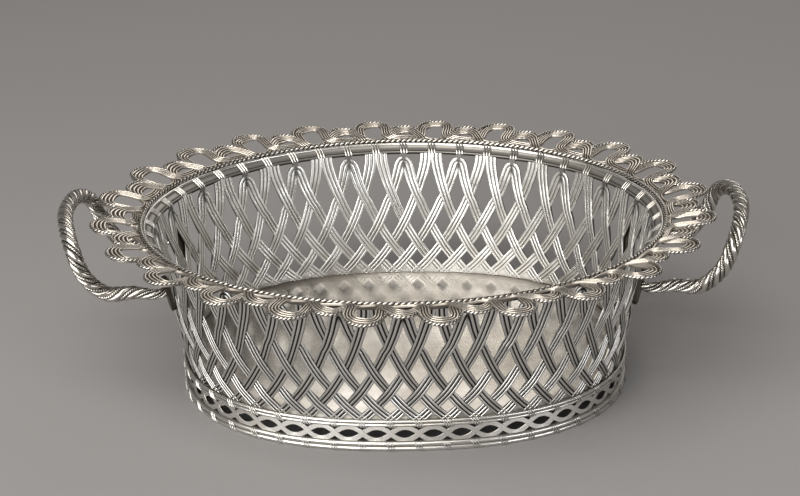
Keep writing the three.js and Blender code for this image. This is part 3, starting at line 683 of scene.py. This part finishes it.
def foot_profile(outer, inner, bottom, top):
    """Two round reeds on the outside, with a cleft between them."""
    lower_reed = [(outer - cut, mix(bottom, top, share), tarnish_and_painted_shade) for share, cut, tarnish_and_painted_shade in FOOT_REED]
    cleft = [(outer - FOOT_REED_CLEFT, mix(bottom, top, 0.5), 1.0)]
    upper_reed = [(offset, bottom + top - height, tarnish_and_painted_shade) for offset, height, tarnish_and_painted_shade in reversed(lower_reed)]
    return [(inner, bottom, 0.5)] + lower_reed + cleft + upper_reed + [(inner, top, 0.5)]


lower = moulding(foot, foot_profile(LOWER_OUT, LOWER_IN, 0, LOWER_TOP))
piece("foot_lower_moulding_reeded", [lower], polished, ["foot_lower_moulding"], 60)

# The upper moulding's inner side steps in to the ledge that carries the floor and the wall
ledge = [(UPPER_IN, UPPER_TOP - 0.1, LEDGE_TARNISH_AND_SHADE), (LEDGE_OUT, LEDGE_TOP, LEDGE_TARNISH_AND_SHADE),
         (LEDGE_IN, LEDGE_TOP, LEDGE_TARNISH_AND_SHADE), (LEDGE_IN, UPPER_BOTTOM, 0.5)]
reeds = foot_profile(UPPER_OUT, LEDGE_OUT, UPPER_REED_BOTTOM, UPPER_TOP)[1:-1]
upper = moulding(foot, reeds + ledge)
piece("foot_upper_moulding_reeded", [upper], polished, ["foot_upper_moulding"], 60)

turns = []
for outer, bottom, top in FOOT_BOUND:
    bound = [(outer - cut, mix(bottom, top, share)) for share, cut in FOOT_BINDING]
    turns += [binding(foot, bound, tie + 0.5 + place, FOOT_BINDING_SLANT, FOOT_BINDING_HALF)
              for tie in range(TIES) for place in FOOT_BINDING_TIES]
piece("foot_moulding_bindings", turns, polished, (), 60)


def band_ribbon(hand):
    """One of the two flat waves whose crossings leave the lens-shaped openings of the foot band."""
    tie = round_ties(20)
    wave = np.cos(math.pi * tie)
    height = BAND_MIDDLE + hand * BAND_SWING * np.sign(wave) * np.abs(wave) ** BAND_ROUNDING
    centre = raised(foot.point(tie, BAND_OUT + BAND_FLARE * (BAND_MIDDLE - height)), height)
    along = directions(centre, True)
    side = unit(np.cross(raised(foot.point(tie, 1) - foot.point(tie, 0), BAND_FLARE), along))
    face = np.cross(along, side)
    half, lift = BAND_WIDTH / 2, hand * BAND_LIFT * np.sin(math.pi * tie)
    crest, edge = half - BAND_BEVEL, BAND_HALF - BAND_BEVEL
    flat = [(-half, edge), (-crest, BAND_HALF), (crest, BAND_HALF), (half, edge)]
    flat += [(half, -BAND_HALF), (-half, -BAND_HALF)]
    section = np.tile(flat, (len(tie), 1, 1))
    section[:, 1:3, 1] += lift[:, None]
    points, faces, tarnish_and_painted_shade = swept(centre, side, face, section, np.array([0.5, 0, 0, 0.5, 1, 1]), True)
    points[:, 2] = np.clip(points[:, 2], BAND_BOTTOM, BAND_TOP)
    return points, faces, tarnish_and_painted_shade


bands = [band_ribbon(1), band_ribbon(-1)]
piece("foot_band_guilloche", bands, polished, ["foot_band"], 30)

dress(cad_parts["floor_plate"], worn)


# Border
def edge_reach(along, large):
    """The edge rope's middle line over a scallop, for a place from -1 to 1 along it."""
    tip = (LARGE_REACH if large else SMALL_REACH) - EDGE_ROPE / 2
    return NOTCH_REACH + (tip - NOTCH_REACH) * (1 - np.abs(along) ** SCALLOP_SQUARENESS) ** SCALLOP_FLANK


def ribbon_half(large):
    """Half a wave of a ribbon, from its outer tip to its inner turn, as (ties, reach, width)."""
    places = OUTER_RIBBON if large else INNER_RIBBON
    line = smooth_line([(tie * TIE_LENGTH, reach, width) for tie, reach, width in places], 6)
    line[:, 0] /= TIE_LENGTH
    return line


def border_ribbon(large):
    """One of the two interlaced ribbons: the outer one makes the large scallops, the inner one the small."""
    half = ribbon_half(large)
    first = 1 if large else 0
    waves = []
    for tie in range(first, TIES, 2):
        back = half[::-1] * [-1, 1, 1]
        wave = np.concatenate([back[:-1], half[:-1]])
        wave[:, 0] += tie
        waves.append(wave)
    line = np.concatenate(waves)
    line[:, 0] *= TIE_LENGTH
    walked = np.concatenate([[0], np.cumsum(np.linalg.norm(np.diff(line[:, :2], axis=0), axis=1))])
    places = np.linspace(0, walked[-1], int(walked[-1] / RIBBON_STEP))
    line = np.stack([np.interp(places, walked, line[:, k]) for k in range(3)], -1)
    tie, reach, width = line[:, 0] / TIE_LENGTH, line[:, 1], line[:, 2]
    centre = border(tie, reach) - [0, 0, RIBBON_SINK]
    face = face_of(border, tie, reach)
    side = unit(np.cross(face, directions(centre, True)))
    weave = (1 if large else -1) * RIBBON_RISE * np.sin(math.pi * tie)
    section = reeded(width, 4, RIBBON_GROOVE, RIBBON_GROOVE, RIBBON_REED, 0.0, weave, -weave)
    # The ribbons' undersides are painted dark: shade under the ribbons, with tarnish.
    return swept(centre, side, face, section, reed_tarnish_and_shade(4, 0.5, 0.7, 0.6), True)


piece("border_outer_ribbon", [border_ribbon(True)], bordered, ["border_flange"])
piece("border_inner_ribbon", [border_ribbon(False)], bordered, ["border_flange"])


def scalloped_edge():
    """The edge rope's middle line, scallop by scallop."""
    runs = []
    for tie in range(TIES):
        large = tie % 2 == 1
        half = LARGE_HALF_TIES if large else 1 - LARGE_HALF_TIES
        along = np.linspace(-1, 1, 24, endpoint=False)
        runs.append(np.stack([tie + half * along, edge_reach(along, large)], -1))
    line = np.concatenate(runs)
    points = border(line[:, 0], line[:, 1]) + [0, 0, EDGE_ROPE_LIFT]
    return resampled(points, EDGE_ROPE_STEP, True)


edge_rope = rope(scalloped_edge(), up, EDGE_ROPE, EDGE_ROPE_LAY)
piece("twisted_edge_rope", [edge_rope], twisted, ["border_edge_rope"], 70)


# Handles
def root_of_handle():
    """Where the cable leaves the wall, and the wall's outward direction there."""
    spread, height = HANDLE_ROOT
    depth = (WALL_TOP - height) / (WALL_TOP - WALL_BOTTOM)
    ties = np.linspace(TIES / 4, TIES / 2, 2400)
    tie = ties[np.argmin(np.abs(wall(ties, np.full(len(ties), depth))[:, 1] - spread))]
    tie, depth = np.array([tie]), np.array([depth])
    return wall(tie, depth)[0], face_of(wall, tie, depth)[0]


def cable_line():
    """The middle line of the right handle's cable, from its front root to its back one."""
    root, normal = root_of_handle()
    start = root + normal * (TERMINAL_GAP + TERMINAL_HALF)
    lead = start + unit(normal * [1, 1, HANDLE_LEAD_DROP]) * HANDLE_LEAD
    run, rise = HANDLE_TIP - start[0], HANDLE_TOP - HANDLE_ROOT[1]
    bow = [(start[0] + out * run, spread * HANDLE_HALF_SPREAD, HANDLE_ROOT[1] + up_share * rise)
           for out, spread, up_share in HANDLE_BOW]
    back = [tuple(start), tuple(lead)] + bow
    front = [(x, -y, z) for x, y, z in back]
    return smooth_line(front + [(HANDLE_TIP, 0, HANDLE_TOP)] + back[::-1])


def steady_sides(line):
    """Side directions along a line that don't spin round it."""
    along = directions(line, False)
    side = np.cross(along[0], [0, 0, 1])
    sides = []
    for direction in along:
        side = side - direction * side.dot(direction)
        side = side / np.linalg.norm(side)
        sides.append(side)
    return along, np.array(sides)


def handle(side_name, turned):
    """The three thick and three fine wires of a handle: the left one is the right one turned half round."""
    line = resampled(cable_line(), HANDLE_STEP)
    along, across = steady_sides(line)
    other = np.cross(along, across)
    length = np.linalg.norm(np.diff(line, axis=0), axis=1).sum()
    turns = round(length / CABLE_PITCH)
    share = np.linspace(0, 1, len(line))
    near = np.minimum(share, 1 - share) * length
    taper = mix(CABLE_ROOT_SCALE, 1, np.clip(near / CABLE_TAPER, 0, 1))
    for kind, diameter, ahead, sink, slot in HANDLE_WIRES:
        coil = (CABLE - diameter) / 2 * taper - sink
        for k in range(3):
            turn = 2 * math.pi * ((k + ahead) / 3 - turns * share)
            centre = line + (coil * np.cos(turn))[:, None] * across + (coil * np.sin(turn))[:, None] * other
            outward = unit(centre - line)
            if kind == "thick":
                made = wire(centre, outward, diameter, taper)
            else:
                made = rope(centre, outward, diameter, CORD_LAY, False, taper)
            points, faces, tarnish_and_painted_shade = made
            node = f"{side_name}_handle_{kind}_wire_{k + 1}"
            piece(f"{node}_drawn", [(points * turned, faces, tarnish_and_painted_shade)], twisted, [node], 70)


def wire(line, outward, diameter, scale):
    """A smooth round wire whose inner side, where it touches the others, is painted dark: shade with tarnish.

    Every second place is enough for it, because it has no strands of its own.
    """
    line, outward, scale = line[::2], outward[::2], scale[::2]
    along = directions(line, False)
    side = unit(np.cross(outward, along))
    face = np.cross(along, side)
    angle = np.arange(14) / 14 * 2 * math.pi
    section = np.stack([np.cos(angle), np.sin(angle)], -1)[None] * (diameter / 2 * scale)[:, None, None]
    return swept(line, side, face, section, ramp(np.sin(angle), *THICK_WIRE_TARNISH_AND_SHADE), False)


handle("right", (1, 1, 1))
handle("left", (-1, -1, 1))

for side_name in ("right", "left"):
    for end in ("front", "back"):
        # The terminals are painted dark: painted shade and painted dark reflection.
        dress(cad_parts[f"{side_name}_handle_{end}_terminal"], painted_dark_silver)


# Studio
def stage_floor():
    bpy.ops.mesh.primitive_plane_add(size=8, location=(0, 0, 0))
    floor = bpy.context.object
    floor.name = "studio_floor"
    bpy.ops.object.transform_apply(location=True, rotation=True, scale=True)
    material = bpy.data.materials.new("matt_grey_paper")
    material.use_nodes = True
    nodes = material.node_tree.nodes
    skin = nodes["Principled BSDF"]
    skin.inputs["Base Color"].default_value = linear("#8f8d8d")
    skin.inputs["Roughness"].default_value = 0.85
    floor.data.materials.append(material)


stage_floor()


def softbox(name, place, aim, size, power, colour):
    lamp = bpy.data.lights.new(name, "AREA")
    lamp.shape = "RECTANGLE"
    lamp.size, lamp.size_y = size
    lamp.energy = power
    lamp.color = linear(colour)[:3]
    made = bpy.data.objects.new(name, lamp)
    made.location = place
    made.rotation_euler = (Vector(aim) - Vector(place)).to_track_quat("-Z", "Y").to_euler()
    bpy.context.collection.objects.link(made)


softbox("key_softbox", (-0.95, -1.49, 0.6), (0, 0, 0.04), (2.2, 1.2), 38.5, "#fffffd")
softbox("top_softbox", (-0.3, -0.6, 1.3), (0, 0, 0), (1.4, 0.8), 14, "#fffaf2")
softbox("back_softbox", (0.45, 1.5, 1.15), (0.05, 0, 0), (1.6, 0.7), 6, "#fffaf3")
softbox("side_card", (1.25, -1.15, 0.28), (0.1, 0, 0.02), (1.2, 0.5), 8, "#fbfcff")

world = bpy.data.worlds.new("studio")
bpy.context.scene.world = world
world.use_nodes = True
world.node_tree.nodes["Background"].inputs["Color"].default_value = linear("#908e8c")
world.node_tree.nodes["Background"].inputs["Strength"].default_value = 0.7


def photo_camera():
    """The photograph's view."""
    down, aside, roll = (math.radians(angle) for angle in (CAMERA_DOWN, CAMERA_ASIDE, CAMERA_ROLL))
    ahead = np.array([math.sin(aside) * math.cos(down), math.cos(aside) * math.cos(down), -math.sin(down)])
    right = np.array([math.cos(aside), -math.sin(aside), 0])
    above = np.cross(right, ahead)
    x = math.cos(roll) * right - math.sin(roll) * above
    y = math.sin(roll) * right + math.cos(roll) * above
    place = (np.array(CAMERA_AIM) - ahead * CAMERA_DISTANCE) * METRE
    data = bpy.data.cameras.new("camera")
    data.lens = FOCAL_LENGTH / PHOTO_WIDTH * SENSOR_WIDTH
    data.sensor_width = SENSOR_WIDTH
    camera = bpy.data.objects.new("camera", data)
    rows = [[x[i], y[i], -ahead[i], place[i]] for i in range(3)] + [[0, 0, 0, 1]]
    camera.matrix_world = Matrix(rows)
    bpy.context.collection.objects.link(camera)
    bpy.context.scene.camera = camera


photo_camera()
bpy.context.scene.view_settings.view_transform = "Standard"
